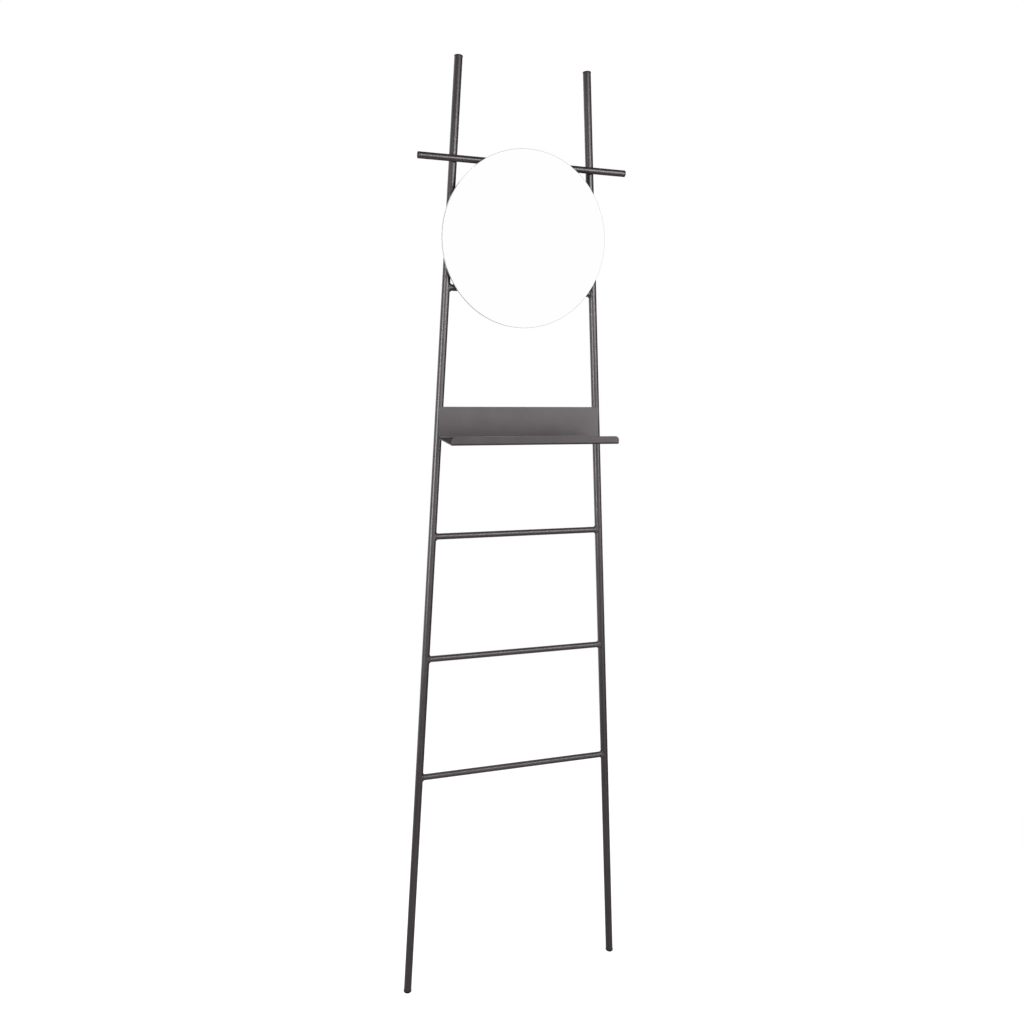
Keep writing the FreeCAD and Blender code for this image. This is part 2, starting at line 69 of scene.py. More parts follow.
# Most share of an edge along the radius for it to count as running round a tube
ROUND = 0.5
# Share of a tube's wall, from outside, past which an edge belongs to the bore
BORE_SHARE = 0.75
# Least angle of an edge that is softened
SHARP = math.radians(50)
# Length of a foot's collar below the floor before it is trimmed, over what its tilt needs
FOOT_SPARE = 1.2

# Points round a rung's bead, along half of a hook bar's bead and along a stitch weld
RUNG_BEAD_POINTS = 240
BAR_BEAD_POINTS = 60
TRAY_BEAD_POINTS = 90
# Thickness of a bead between its ripples, and what a ripple adds, as shares of its size
BEAD_WAIST = 0.95
BEAD_SWELL = 0.07
# Power by which a stitch weld runs out towards its ends
BEAD_RUNOUT = 6


# Sizes and colours

def length(label, description, default):
    """Property for a length in metres."""
    return FloatProperty(
        name=label, description=description, default=default, min=0.0, unit="LENGTH", precision=5
    )


def angle(label, description, degrees):
    """Property for an angle."""
    return FloatProperty(name=label, description=description, default=math.radians(degrees), subtype="ANGLE")


def colour(label, description, default):
    """Property for a colour, in linear values."""
    return FloatVectorProperty(
        name=label, description=description, default=default, subtype="COLOR", size=3, min=0.0, max=1.0
    )


def strength(label, description, default):
    """Property for a strength of light, where 1 shows white."""
    return FloatProperty(name=label, description=description, default=default, min=0.0)


class FrameSizes(PropertyGroup):
    """Welded tube frame, with heights measured along the leaning ladder."""

    lean: angle("Lean", "Angle between the ladder and the wall", 5.0)
    foot_spread: length("Foot spread", "Distance between the rail axes at the floor", 0.482)
    top_spread: length("Top spread", "Distance between the rail axes at the top", 0.264)
    run: length("Ladder length", "Length from the floor to the rail tops", 1.935)
    rail_radius: length("Rail radius", "Outside radius of the rails", 0.008)
    rung_radius: length("Rung radius", "Outside radius of the rungs and the hook bar", 0.00635)
    wall: length("Tube wall", "Wall thickness of the tubes", 0.0012)
    lower_rung: length("Lower rung", "Height of the lower rung", 0.490)
    middle_rung: length("Middle rung", "Height of the middle rung", 0.7485)
    upper_rung: length("Upper rung", "Height of the upper rung", 1.007)
    mirror_rung: length("Mirror rung", "Height of the rung behind the mirror", 1.504)
    hook_bar: length("Hook bar", "Height of the hook bar", 1.7445)
    hook_bar_length: length("Hook bar length", "Length of the hook bar with its caps", 0.430)
    hook_bar_ahead: length("Hook bar ahead", "Distance of the bar's axis in front of the rail axes", 0.01355)
    rim: length("Tube rim", "Softening of the tubes' cut ends", 0.0003)
    tube_sides: IntProperty(name="Tube sides", description="Facets round a tube", default=64, min=16)


class PlugSizes(PropertyGroup):
    """Plugs in the tube ends and pads against the wall."""

    depth: length("Stem", "Length of a plug inside its tube", 0.018)
    clearance: length("Clearance", "Gap between a plug's stem and the tube", 0.0001)
    cap_height: length("Cap height", "Thickness of a rail cap's flange", 0.0024)
    cap_flare: length("Cap flare", "Overhang of a rail cap past the rail", 0.0003)
    cap_round: length("Cap rounding", "Rounding of a rail cap's rim", 0.0011)
    bar_cap_height: length("Bar cap height", "Thickness of a hook bar cap's flange", 0.0016)
    bar_cap_round: length("Bar cap rounding", "Rounding of a hook bar cap's rim", 0.0008)
    foot_height: length("Foot collar", "Height of a foot's collar", 0.0024)
    foot_flare: length("Foot flare", "Overhang of a foot past the rail", 0.0005)
    foot_round: length("Foot rounding", "Rounding of a foot's lower rim", 0.0007)
    pad_round: length("Pad rounding", "Rounding of a wall pad's edges", 0.0010)


class WeldSizes(PropertyGroup):
    """Weld beads under the coating."""

    rung_bead: length("Rung bead", "Radius of the round bead at a rung's end", 0.0034)
    rung_sink: length("Rung bead sink", "Depth of that bead's middle under both surfaces", 0.0008)
    bar_bead: length("Bar bead", "Radius of the bead behind the hook bar", 0.0015)
    bar_out: length("Bar bead offset", "Distance of that bead's middle outside its seam", 0.0007)
    tray_bead: length("Tray bead", "Radius of a stitch weld behind the tray", 0.0022)
    tray_bead_length: length("Tray bead length", "Length of a stitch weld", 0.018)
    tray_bead_inset: length("Tray bead inset", "Distance of a weld's middle from the plate's edge", 0.014)
    ripple: length("Ripple", "Distance between the ripples of a bead", 0.0014)


class TraySizes(PropertyGroup):
    """Shelf tray folded from one sheet."""

    top: length("Top edge", "Height of the back plate's top edge", 1.271)
    half_width: length("Half width", "Half of the tray's width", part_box("shelf_tray")[1].x)
    sheet: length("Sheet", "Thickness of the sheet", 0.002)
    plate_height: length("Plate height", "Height of the back plate", 0.064)
    depth: length("Depth", "Depth of the tray's base", 0.107)
    droop: angle("Droop", "Angle by which the base falls towards the lip", 3.5)
    lip_height: length("Lip height", "Height of the front lip", 0.016)
    fold: length("Fold", "Radius of the folds at the middle of the sheet", 0.003)
    lip_corner: length("Lip corner", "Corner radius of the lip", 0.008)
    plate_corner: length("Plate corner", "Corner radius of the back plate", 0.002)
    edge: length("Edge", "Softening of the sheet's edges", 0.0004)


class MirrorSizes(PropertyGroup):
    """Mirror glass and what hangs it on the hook bar."""

    arris: length("Arris", "Width of the bevel on the glass edge", 0.0005)
    glass_sides: IntProperty(name="Glass sides", description="Facets round the glass", default=256, min=32)
    sheet: length("Bracket sheet", "Thickness of the bracket's sheet", 0.002)
    setback: length("Bracket setback", "Distance of the plate's middle in front of the bar", 0.015913)
    half_width: length("Bracket half width", "Half of the plate's width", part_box("mirror_bracket")[1].x)
    drop: length("Bracket drop", "Distance of the plate's top edge below the bar's axis", 0.040)
    corner: length("Bracket corner", "Corner radius of the plate", 0.012)
    edge: length("Bracket edge", "Softening of the bracket's edges", 0.0003)
    arm_place: length("Arm place", "Distance of a hook's middle from the centre line", 0.050)
    arm_width: length("Arm width", "Width of a hook", 0.025)
    hook_radius: length("Hook radius", "Distance from the bar's axis to the hook's middle", 0.00765)
    hook_bend: length("Hook bend", "Bend radius over the bar", 0.00715)
    jog_drop: length("Jog drop", "Distance of the upper jog fold below the bar's axis", 0.014)
    jog_bend: length("Jog bend", "Bend radius of the jog", 0.004)
    tail: length("Hook tail", "Length of the hook's tail below the bar's axis", 0.012)
    tape_width: length("Tape width", "Width of a strip of tape", 0.018)
    tape_pitch: length("Tape pitch", "Distance between the middles of the strips", 0.056)
    tape_round: length("Tape rounding", "Softening of the tape's edges", 0.0003)
    bumper_round: length("Bumper rounding", "Rounding of a bumper's face", 0.0016)


class FinishColours(PropertyGroup):
    """Colours of the finishes."""

    coat: colour("Coat", "Satin powder coat", (0.038, 0.0265, 0.0300))
    coat_worn: colour("Coat light", "Lighter tone in the powder coat", (0.0505, 0.0365, 0.0405))
    plastic: colour("Plastic", "Black moulded plugs", (0.011, 0.011, 0.012))
    rubber: colour("Rubber", "Dark rubber pads", (0.020, 0.019, 0.019))
    silver: colour("Silvering", "Reflecting face of the mirror", (0.99, 0.99, 0.99))
    glass_edge: colour("Glass edge", "Ground edge of the glass", (0.84, 0.87, 0.86))
    backing: colour("Backing", "Paint on the back of the glass", (0.16, 0.17, 0.18))
    foam: colour("Foam", "Foam tape", (0.62, 0.61, 0.58))
    zinc: colour("Zinc", "Zinc on the bracket's sheet", (0.56, 0.58, 0.60))
    silicone: colour("Silicone", "Soft bumper dots", (0.70, 0.71, 0.70))
    floor: colour("Floor", "Floor of the stage", (0.46, 0.46, 0.46))


class StageSettings(PropertyGroup):
    """Camera and light."""

    camera_place: FloatVectorProperty(
        name="Camera place", description="Position of the camera", unit="LENGTH",
        default=(-0.5856, -1.6935, 1.4714),
    )
    camera_turn: FloatVectorProperty(
        name="Camera turn", description="Rotation of the camera", subtype="EULER",
        default=(math.radians(76.7218), math.radians(-2.2483), math.radians(-18.0475)),
    )
    lens: FloatProperty(name="Lens", description="Focal length in millimetres", default=30.981, min=1.0)
    fill: strength("Fill", "Strength of the even light from all round", 0.04)
    wall: strength("Wall", "Strength at which reflections see the wall behind on the left", 0.8)
    glow: strength("Floor glow", "White that the floor shows in its shadows", 0.92)
    floor_size: length("Floor size", "Side of the square floor", 4.0)
    fade_start: length("Fade start", "Distance at which the floor starts to fade out", 0.5)
    fade_end: length("Fade end", "Distance at which the floor is gone", 1.6)


# Modelling helpers

def add(operator, name, **settings):
    """Add a primitive with nothing else selected, and name it."""
    bpy.ops.object.select_all(action="DESELECT")
    operator(**settings)
    piece = bpy.context.object
    piece.name = name
    piece.data.name = name
    return piece


def choose(*pieces):
    """Make these the only selected objects, the last of them active."""
    if bpy.context.mode != "OBJECT":
        leave_edit()
    bpy.ops.object.select_all(action="DESELECT")
    for piece in pieces:
        piece.select_set(True)
    bpy.context.view_layer.objects.active = pieces[-1]


def settle(piece, place=None):
    """Move a piece to its place and put that place into its mesh."""
    if place is not None:
        piece.matrix_world = place @ piece.matrix_world
    choose(piece)
    bpy.ops.object.transform_apply(location=True, rotation=True, scale=True)


def pick(piece, kind, wanted):
    """Enter edit mode with only the wanted faces, edges or vertices selected."""
    choose(piece)
    bpy.ops.object.mode_set(mode="EDIT")
    bpy.ops.mesh.select_mode(type=kind)
    bpy.ops.mesh.select_all(action="DESELECT")
    bpy.ops.object.mode_set(mode="OBJECT")
    mesh = piece.data
    if kind == "FACE":
        for face in mesh.polygons:
            face.select = wanted(face.center, face.normal)
    elif kind == "EDGE":
        for edge in mesh.edges:
            start, end = (mesh.vertices[index].co for index in edge.vertices)
            edge.select = wanted((start + end) / 2, end - start)
    else:
        for vertex in mesh.vertices:
            vertex.select = wanted(vertex.co)
    bpy.ops.object.mode_set(mode="EDIT")


def leave_edit():
    """Return to object mode."""
    bpy.ops.object.mode_set(mode="OBJECT")


def extrude(*move):
    """Extrude what is selected along a vector."""
    bpy.ops.mesh.extrude_region_move(TRANSFORM_OT_translate={"value": move})


def apply_modifier(piece, kind, **settings):
    """Add a modifier, set it and apply it."""
    choose(piece)
    modifier = piece.modifiers.new(kind.title(), kind)
    for name, setting in settings.items():
        setattr(modifier, name, setting)
    bpy.ops.object.modifier_apply(modifier=modifier.name)


def tidy_mesh(piece):
    """Merge doubles and turn all faces outwards."""
    choose(piece)
    bpy.ops.object.mode_set(mode="EDIT")
    bpy.ops.mesh.select_all(action="SELECT")
    bpy.ops.mesh.remove_doubles(threshold=EPSILON / 4)
    bpy.ops.mesh.normals_make_consistent(inside=False)
    leave_edit()


def carve(piece, *cutters):
    """Take the space of cutters from a piece, and delete the cutters."""
    for cutter in cutters:
        apply_modifier(piece, "BOOLEAN", operation="DIFFERENCE", solver="EXACT", object=cutter)
        bpy.data.objects.remove(cutter)
    tidy_mesh(piece)


def split_faces(piece):
    """Split all faces into triangles, because long thin ones with many corners fold over in an export."""
    choose(piece)
    bpy.ops.object.mode_set(mode="EDIT")
    bpy.ops.mesh.select_all(action="SELECT")
    bpy.ops.mesh.quads_convert_to_tris(quad_method="BEAUTY", ngon_method="BEAUTY")
    leave_edit()


def soften(piece, width, segments=3):
    """Round the sharp edges of a piece."""
    apply_modifier(
        piece, "BEVEL", width=width, segments=segments, limit_method="ANGLE", angle_limit=SHARP
    )


def copy_piece(piece, name, place):
    """Copy a piece with a mesh of its own to another place."""
    choose(piece)
    bpy.ops.object.duplicate(linked=False)
    copy = bpy.context.object
    copy.name = name
    copy.data.name = name
    settle(copy, place)
    return copy


def join(name, pieces):
    """Join pieces into one object."""
    choose(*pieces)
    if len(pieces) > 1:
        bpy.ops.object.join()
    joined = bpy.context.object
    joined.name = name
    joined.data.name = name
    return joined


def complete(piece, finish, body, slot, *nodes, smooth=35.0):
    """Shade a piece, give it its finish, and tie it to the frame."""
    choose(piece)
    bpy.ops.object.shade_smooth_by_angle(angle=math.radians(smooth))
    apply_modifier(piece, "WEIGHTED_NORMAL", mode="FACE_AREA", weight=100, keep_sharp=True)
    piece.data.materials.clear()
    piece.data.materials.append(finish)
    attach(piece, body)
    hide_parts(*nodes)


# Places on the ladder

def ladder_place():
    """Frame of the leaning ladder: X across, Z up along it, origin on the floor."""
    sizes = bpy.context.scene.ladder_frame
    back = sizes.hook_bar * math.sin(sizes.lean) - sizes.hook_bar_ahead * math.cos(sizes.lean)
    return Matrix.Translation((0, BAR_AXIS.y - back, 0)) @ Matrix.Rotation(-sizes.lean, 4, "X")


def splay():
    """Angle by which each rail tilts inwards."""
    sizes = bpy.context.scene.ladder_frame
    return math.atan((sizes.foot_spread - sizes.top_spread) / 2 / sizes.run)


def half_gap(rise):
    """Distance of a rail's axis from the middle of the ladder at a height along it."""
    return bpy.context.scene.ladder_frame.foot_spread / 2 - rise * math.tan(splay())


def rail_place(side):
    """Frame of a rail: Z up its axis, origin on the floor."""
    offset = SIDES[side] * bpy.context.scene.ladder_frame.foot_spread / 2
    tilt = Matrix.Rotation(-SIDES[side] * splay(), 4, "Y")
    return ladder_place() @ Matrix.Translation((offset, 0, 0)) @ tilt


def rail_run():
    """Length of a rail's axis from the floor to the top of its cap."""
    return bpy.context.scene.ladder_frame.run / math.cos(splay())


def cross_place(rise, ahead=0.0):
    """Frame of a cross tube: Z along its axis to the right, origin in the middle."""
    return ladder_place() @ Matrix.Translation((0, -ahead, rise)) @ Matrix.Rotation(math.pi / 2, 4, "Y")


def add_rod(name, radius, low, high):
    """Solid rod along Z, for cutting."""
    sides = bpy.context.scene.ladder_frame.tube_sides
    rod = add(
        bpy.ops.mesh.primitive_cylinder_add, name, vertices=sides, radius=radius,
        depth=high - low, location=(0, 0, (low + high) / 2),
    )
    settle(rod)
    return rod


def rail_rod(side):
    """Space of a rail's outside, in its place."""
    rod = add_rod("rail_space", bpy.context.scene.ladder_frame.rail_radius, 0.0, rail_run())
    settle(rod, rail_place(side))
    return rod


def add_tube(name, radius, low, high):
    """Tube along Z, bored through, with softened ends."""
    sizes = bpy.context.scene.ladder_frame
    tube = add_rod(name, radius, low, high)
    pick(tube, "FACE", lambda middle, normal: abs(normal.z) > FACING)
    bpy.ops.mesh.inset(thickness=sizes.wall, use_individual=True)
    bpy.ops.mesh.delete(type="FACE")
    inner = radius - BORE_SHARE * sizes.wall
    pick(tube, "EDGE", lambda middle, run: middle.xy.length < inner)
    bpy.ops.mesh.bridge_edge_loops()
    pick(tube, "EDGE", lambda middle, run: middle.xy.length > inner and abs(run.z) < EPSILON
         and abs(run.xy.normalized().dot(middle.xy.normalized())) < ROUND)
    bpy.ops.mesh.bevel(offset=sizes.rim, segments=2, affect="EDGES")
    leave_edit()
    return tube


# Finishes

class Signal:
    """One output of a shader node. Arithmetic on it adds Math nodes."""

    def __init__(self, socket):
        self.socket = socket

    @classmethod
    def node(cls, tree, kind, settings=None, inputs=None, output=0):
        """Add a node from its type, its settings, which are set first, and its sockets' values or links."""
        node = tree.nodes.new(kind)
        for name, setting in (settings or {}).items():
            setattr(node, name, setting)
        for key, entry in (inputs or {}).items():
            if isinstance(entry, Signal):
                tree.links.new(entry.socket, node.inputs[key])
            else:
                node.inputs[key].default_value = entry
        return cls(node.outputs[output]) if node.outputs else None

    def math(self, operation, first, second):
        """Add a Math node to this signal's tree."""
        tree = self.socket.id_data
        return Signal.node(tree, "ShaderNodeMath", {"operation": operation}, {0: first, 1: second})

    def __add__(self, other):
        return self.math("ADD", self, other)

    __radd__ = __add__

    def __sub__(self, other):
        return self.math("SUBTRACT", self, other)

    def __rsub__(self, other):
        return self.math("SUBTRACT", other, self)

    def __mul__(self, other):
        return self.math("MULTIPLY", self, other)

    __rmul__ = __mul__

    def __gt__(self, other):
        return self.math("GREATER_THAN", self, other)

    def __lt__(self, other):
        return self.math("LESS_THAN", self, other)


def noise(tree, place, scale, detail):
    """Noise between 0 and 1, with a scale in cells per metre."""
    inputs = {"Vector": place, "Scale": scale, "Detail": detail}
    return Signal.node(tree, "ShaderNodeTexNoise", None, inputs, "Fac")


def ramp(tree, value, start, end):
    """Smooth rise from 0 at the start to 1 at the end."""
    inputs = {"Value": value, "From Min": start, "From Max": end}
    return Signal.node(tree, "ShaderNodeMapRange", {"interpolation_type": "SMOOTHSTEP"}, inputs)


def blend(tree, share, first, second):
    """Colour between two colours."""
    first, second = (entry if isinstance(entry, Signal) else (*entry, 1.0) for entry in (first, second))
    inputs = {0: share, 6: first, 7: second}
    return Signal.node(tree, "ShaderNodeMix", {"data_type": "RGBA"}, inputs, 2)


def bump(tree, height, strength, distance):
    """Normal of a surface raised by a height signal."""
    inputs = {"Height": height, "Strength": strength, "Distance": distance}
    return Signal.node(tree, "ShaderNodeBump", None, inputs)


def new_finish(name, paint, **constants):
    """Material whose varying sockets come from a painting function of its tree and Object coordinates."""
    finish = bpy.data.materials.new(name)
    finish.use_nodes = True
    tree = finish.node_tree
    shader = tree.nodes["Principled BSDF"]
    for socket, constant in constants.items():
        shader.inputs[socket.replace("_", " ")].default_value = constant
    place = Signal.node(tree, "ShaderNodeTexCoord", None, None, "Object")
    for socket, signal in paint(tree, place, bpy.context.scene.ladder_colours).items():
        tree.links.new(signal.socket, shader.inputs[socket])
    return finish


def finish_of(name):
    """Finish by name, made on first use."""
    if name not in bpy.data.materials:
        paint, constants = FINISHES[name]
        new_finish(name, paint, **constants)
    return bpy.data.materials[name]


def paint_coat(tree, place, colours):
    """Satin powder coat: slow drift of tone and gloss, fine orange peel, duller where dust settles."""
    drift = noise(tree, place, scale=7.0, detail=3.0)
    cloud = noise(tree, place, scale=24.0, detail=3.0)
    peel = noise(tree, place, scale=1100.0, detail=2.0)
    facing = Signal.node(tree, "ShaderNodeNewGeometry", None, None, "Normal")
    up = Signal.node(tree, "ShaderNodeSeparateXYZ", None, {"Vector": facing}, "Z")
    dust = ramp(tree, up, 0.8, 0.97)
    return {
        "Base Color": blend(tree, 0.8 * drift + 0.4 * cloud - 0.1, colours.coat, colours.coat_worn),
        "Roughness": 0.32 + 0.06 * drift + 0.04 * cloud + 0.30 * dust,
        "Coat Weight": (0.1 + 0.8 * cloud) * (1 - dust),
        "Normal": bump(tree, peel, strength=0.03, distance=0.0001),
    }


def paint_plastic(tree, place, colours):
    """Moulded plastic: fine spark-eroded grain and a faint bloom."""
    grain = noise(tree, place, scale=1800.0, detail=2.0)
    bloom = noise(tree, place, scale=45.0, detail=2.0)
    pale = [1.9 * part for part in colours.plastic]
    return {
        "Base Color": blend(tree, 0.7 * bloom + 0.3 * grain, colours.plastic, pale),
        "Roughness": 0.40 + 0.18 * grain,
        "Normal": bump(tree, grain, strength=0.25, distance=0.0002),
    }


def paint_rubber(tree, place, colours):
    """Matt rubber with chalky specks."""
    speck = noise(tree, place, scale=1300.0, detail=3.0)
    bloom = noise(tree, place, scale=90.0, detail=2.0)
    pale = [2.2 * part for part in colours.rubber]
    return {
        "Base Color": blend(tree, bloom * speck * 2.0, colours.rubber, pale),
        "Roughness": 0.72 + 0.2 * bloom,
        "Normal": bump(tree, speck, strength=0.3, distance=0.0002),
    }


def paint_mirror(tree, place, colours):
    """Silvered glass: bright front, ground greenish edge, painted back."""
    depth = Signal.node(tree, "ShaderNodeSeparateXYZ", None, {"Vector": place}, "Y")
    front = depth < GLASS_LOW.y + FACE_DEPTH
    back = depth > GLASS_HIGH.y - FACE_DEPTH
    ground = noise(tree, place, scale=900.0, detail=2.0)
    roller = noise(tree, place, scale=140.0, detail=3.0)
    edge = blend(tree, ground, colours.glass_edge, [0.8 * part for part in colours.glass_edge])
    paint = blend(tree, roller, colours.backing, [1.25 * part for part in colours.backing])
    body = blend(tree, back, edge, paint)
    return {
        "Base Color": blend(tree, front, body, colours.silver),
        "Metallic": front + (1 - front) * (1 - back) * 0.6,
        "Roughness": (1 - front) * (0.18 + 0.3 * back + 0.12 * ground) + 0.015,
    }


def paint_foam(tree, place, colours):
    """Closed-cell foam: small pores."""
    cells = Signal.node(
        tree, "ShaderNodeTexVoronoi", None, {"Vector": place, "Scale": 1100.0}, "Distance"
    )
    drift = noise(tree, place, scale=60.0, detail=2.0)
    dark = [0.7 * part for part in colours.foam]
    return {
        "Base Color": blend(tree, 0.8 * cells + 0.3 * drift, colours.foam, dark),
        "Roughness": 0.8 + 0.15 * drift,
        "Normal": bump(tree, 1 - cells, strength=0.4, distance=0.0003),
    }


def paint_zinc(tree, place, colours):
    """Zinc-plated sheet: faint spangle and rolling lines."""
    spangle = Signal.node(
        tree, "ShaderNodeTexVoronoi", None, {"Vector": place, "Scale": 160.0}, "Color"
    )
    flake = Signal.node(tree, "ShaderNodeSeparateXYZ", None, {"Vector": spangle}, "X")
    stretched = Signal.node(
        tree, "ShaderNodeMapping", None, {"Vector": place, "Scale": (1500.0, 40.0, 40.0)}
    )
    lines = noise(tree, stretched, scale=1.0, detail=2.0)
    dark = [0.72 * part for part in colours.zinc]
    return {
        "Base Color": blend(tree, 0.6 * flake + 0.3 * lines, colours.zinc, dark),
        "Roughness": 0.30 + 0.14 * flake + 0.08 * lines,
        "Normal": bump(tree, lines, strength=0.10, distance=0.0001),
    }


def paint_silicone(tree, place, colours):
    """Frosted silicone: cloudy, with a fine grain."""
    cloud = noise(tree, place, scale=220.0, detail=3.0)
    grain = noise(tree, place, scale=2000.0, detail=1.0)
    dark = [0.82 * part for part in colours.silicone]
    return {
        "Base Color": blend(tree, cloud, colours.silicone, dark),
        "Roughness": 0.38 + 0.15 * cloud,
        "Normal": bump(tree, grain, strength=0.15, distance=0.0001),
    }


FINISHES = {
    "powder_coat": (paint_coat, {"Specular_IOR_Level": 0.82, "Coat_Roughness": 0.37}),
    "moulded_plastic": (paint_plastic, {"Specular_IOR_Level": 0.35}),
    "pad_rubber": (paint_rubber, {"Specular_IOR_Level": 0.3}),
    "silvered_glass": (paint_mirror, {}),
    "foam_tape": (paint_foam, {"Specular_IOR_Level": 0.2}),
    "zinc_plate": (paint_zinc, {"Metallic": 0.9}),
    "frosted_silicone": (paint_silicone, {}),
}


# Pieces

class LADDER_OT_rails(Operator):
    """Add the two rails"""

    bl_idname = "ladder.add_rails"
    bl_label = "Rails"

    def execute(self, context):
        sizes, plugs = context.scene.ladder_frame, context.scene.ladder_plugs
        for side in SIDES:
            rail = add_tube(
                f"rail_tube_{side}", sizes.rail_radius, plugs.foot_height, rail_run() - plugs.cap_height
            )
            settle(rail, rail_place(side))
            complete(rail, finish_of("powder_coat"), "ladder", "frame_coat", f"{side}_rail")
        return {"FINISHED"}


class LADDER_OT_cross_tubes(Operator):
    """Add the four rungs and the hook bar, coped to the rails"""

    bl_idname = "ladder.add_cross_tubes"
    bl_label = "Rungs and hook bar"

    def execute(self, context):
        sizes, plugs = context.scene.ladder_frame, context.scene.ladder_plugs
        for node in ("lower_rung", "middle_rung", "upper_rung", "mirror_rung"):
            rise = getattr(sizes, node)
            self.add_cross_tube(f"{node}_tube", node, half_gap(rise), cross_place(rise))
        half = sizes.hook_bar_length / 2 - plugs.bar_cap_height
        place = cross_place(sizes.hook_bar, sizes.hook_bar_ahead)
        self.add_cross_tube("hook_bar_tube", "hook_bar", half, place)
        return {"FINISHED"}

    def add_cross_tube(self, name, node, half, place):
        """One tube across the ladder, shaped to the rails where it meets them."""
        tube = add_tube(name, bpy.context.scene.ladder_frame.rung_radius, -half, half)
        settle(tube, place)
        carve(tube, *(rail_rod(side) for side in SIDES))
        complete(tube, finish_of("powder_coat"), "ladder", "frame_coat", node)


class LADDER_OT_welds(Operator):
    """Add the rippled weld beads of the tubes and the tray"""

    bl_idname = "ladder.add_welds"
    bl_label = "Weld beads"

    def execute(self, context):
        sizes = context.scene.ladder_frame
        rung_bead = self.add_rung_bead()
        beads = []
        for rise in (sizes.lower_rung, sizes.middle_rung, sizes.upper_rung, sizes.mirror_rung):
            for side, sign in SIDES.items():
                turn = Matrix.Rotation(0.0 if sign < 0 else math.pi, 4, "Z")
                place = ladder_place() @ Matrix.Translation((sign * half_gap(rise), 0, rise)) @ turn
                beads.append(copy_piece(rung_bead, "rung_bead", place))
        bpy.data.objects.remove(rung_bead)
        beads += [self.add_bar_bead(side) for side in SIDES]
        tube_welds = join("tube_weld_beads", beads)
        complete(tube_welds, finish_of("powder_coat"), "ladder", "frame_coat", "frame_welds", smooth=60.0)
        tray_welds = join("tray_weld_beads", self.add_tray_beads())
        complete(tray_welds, finish_of("powder_coat"), "ladder", "frame_coat", "shelf_welds", smooth=60.0)
        return {"FINISHED"}

    def add_bead(self, name, points, radius, closed=True):
        """Bead of weld along points, its thickness swelling and falling in ripples."""
        bead = add(bpy.ops.curve.primitive_bezier_circle_add, name)
        bead.data.splines.clear()
        spline = bead.data.splines.new("POLY")
        spline.points.add(len(points) - 1)
        spline.use_cyclic_u = closed
        walked = 0.0
        total = sum((after - before).length for before, after in zip(points, points[1:]))
        for index, (point, spot) in enumerate(zip(spline.points, points)):
            walked += (spot - points[max(index - 1, 0)]).length
            phase = walked / bpy.context.scene.ladder_welds.ripple % 1.0
            swell = BEAD_WAIST + BEAD_SWELL * math.sin(math.pi * phase)
            ends = 1.0 if closed else math.sqrt(max(0.0, 1 - (2 * walked / total - 1) ** BEAD_RUNOUT))
            point.co = (*spot, 1.0)
            point.radius = swell * ends
        bead.data.dimensions = "3D"
        bead.data.bevel_depth = radius
        bead.data.bevel_resolution = 3
        choose(bead)
        bpy.ops.object.convert(target="MESH")
        tidy_mesh(bead)
        split_faces(bead)
        return bead

    def add_rung_bead(self):
        """Bead round a rung's end on the left rail, about the crossing of their axes."""
        sizes, welds = bpy.context.scene.ladder_frame, bpy.context.scene.ladder_welds
        tilt = splay()
        points = []
        for step in range(RUNG_BEAD_POINTS):
            turn = 2 * math.pi * step / RUNG_BEAD_POINTS
            rise, ahead = sizes.rung_radius * math.cos(turn), sizes.rung_radius * math.sin(turn)
            across = math.sqrt(sizes.rail_radius ** 2 - ahead ** 2)
            seam = Vector((rise * math.tan(tilt) + across / math.cos(tilt), -ahead, rise))
            rail_normal = Vector((across * math.cos(tilt), -ahead, -across * math.sin(tilt))).normalized()
            rung_normal = Vector((0, -math.sin(turn), math.cos(turn)))
            points.append(seam - welds.rung_sink * (rail_normal + rung_normal))
        bead = self.add_bead("rung_bead_pattern", points, welds.rung_bead)
        reach = 4 * sizes.rail_radius
        rail = add_rod("rail_space", sizes.rail_radius, -reach, reach)
        settle(rail, Matrix.Rotation(tilt, 4, "Y"))
        rung = add_rod("rung_space", sizes.rung_radius, 0.0, reach)
        settle(rung, Matrix.Rotation(math.pi / 2, 4, "Y"))
        carve(bead, rail, rung)
        split_faces(bead)
        return bead

    def add_bar_bead(self, side):
        """Bead round the spot where the hook bar sits on a rail."""
        sizes, welds = bpy.context.scene.ladder_frame, bpy.context.scene.ladder_welds
        sign, tilt = SIDES[side], splay()
        reach = math.acos((sizes.hook_bar_ahead - sizes.rail_radius) / sizes.rung_radius)
        steps = range(BAR_BEAD_POINTS)
        turns = [reach * math.sin(math.pi * (step / BAR_BEAD_POINTS - 0.5)) for step in steps]
        seam = []
        for half, order in ((1, turns), (-1, [-turn for turn in turns])):
            for turn in order:
                rise = sizes.rung_radius * math.sin(turn)
                ahead = sizes.hook_bar_ahead - sizes.rung_radius * math.cos(turn)
                across = half * math.sqrt(max(0.0, sizes.rail_radius ** 2 - ahead ** 2))
                seam.append(Vector((across / math.cos(tilt) - sign * rise * math.tan(tilt), -ahead, rise)))
        middle = sum(seam, Vector()) / len(seam)
        points = []
        for spot in seam:
            out = spot - middle
            out.y = 0
            points.append(spot + welds.bar_out * out.normalized())
        bead = self.add_bead(f"bar_bead_{side}", points, welds.bar_bead)
        place = ladder_place() @ Matrix.Translation((sign * half_gap(sizes.hook_bar), 0, sizes.hook_bar))
        settle(bead, place)
        half = sizes.hook_bar_length / 2
        bar = add_rod("bar_space", sizes.rung_radius, -half, half)
        settle(bar, cross_place(sizes.hook_bar, sizes.hook_bar_ahead))
        carve(bead, rail_rod(side), bar)
        split_faces(bead)
        return bead

